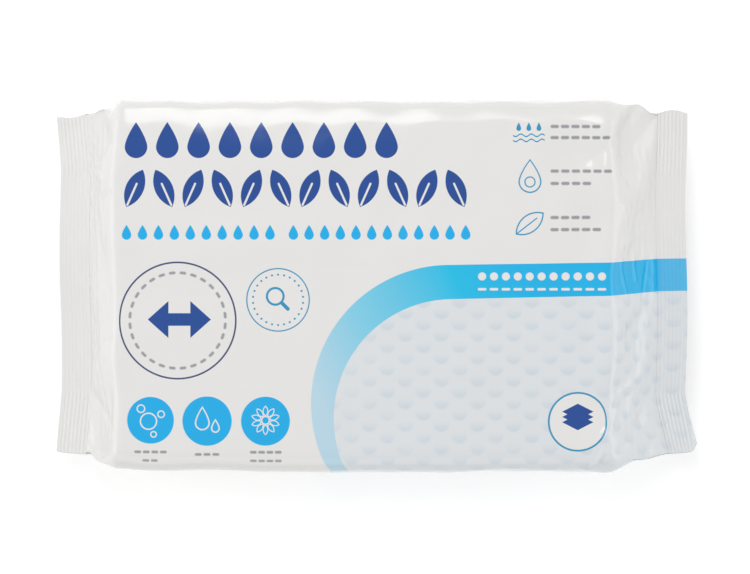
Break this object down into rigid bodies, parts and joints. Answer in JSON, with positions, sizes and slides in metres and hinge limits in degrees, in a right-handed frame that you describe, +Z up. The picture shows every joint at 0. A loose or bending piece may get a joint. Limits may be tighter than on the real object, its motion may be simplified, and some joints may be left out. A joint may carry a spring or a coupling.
{
  "type": "wet wipes pack",
  "caption": "Sealed film flow wrap around a folded stack of large wet wipes, with ribbed end seals and tucked-in sides, lying flat.",
  "frame": {"origin": "middle of the pack's bounding box at its base, on the surface the pack lies on", "axes": "+X along the pack, from the tight end seal to the slack one; +Y across it, towards the upper edge of the print; +Z up, out of the printed face"},
  "size_m": [0.2574, 0.148, 0.046],
  "materials": {
    "printed_film": "thin glossy white polyethylene film with a blue print of simple shapes and crimped end seals"
  },
  "bodies": {
    "root": {"sealed_pack": "printed_film"}
  },
  "joints": []
}
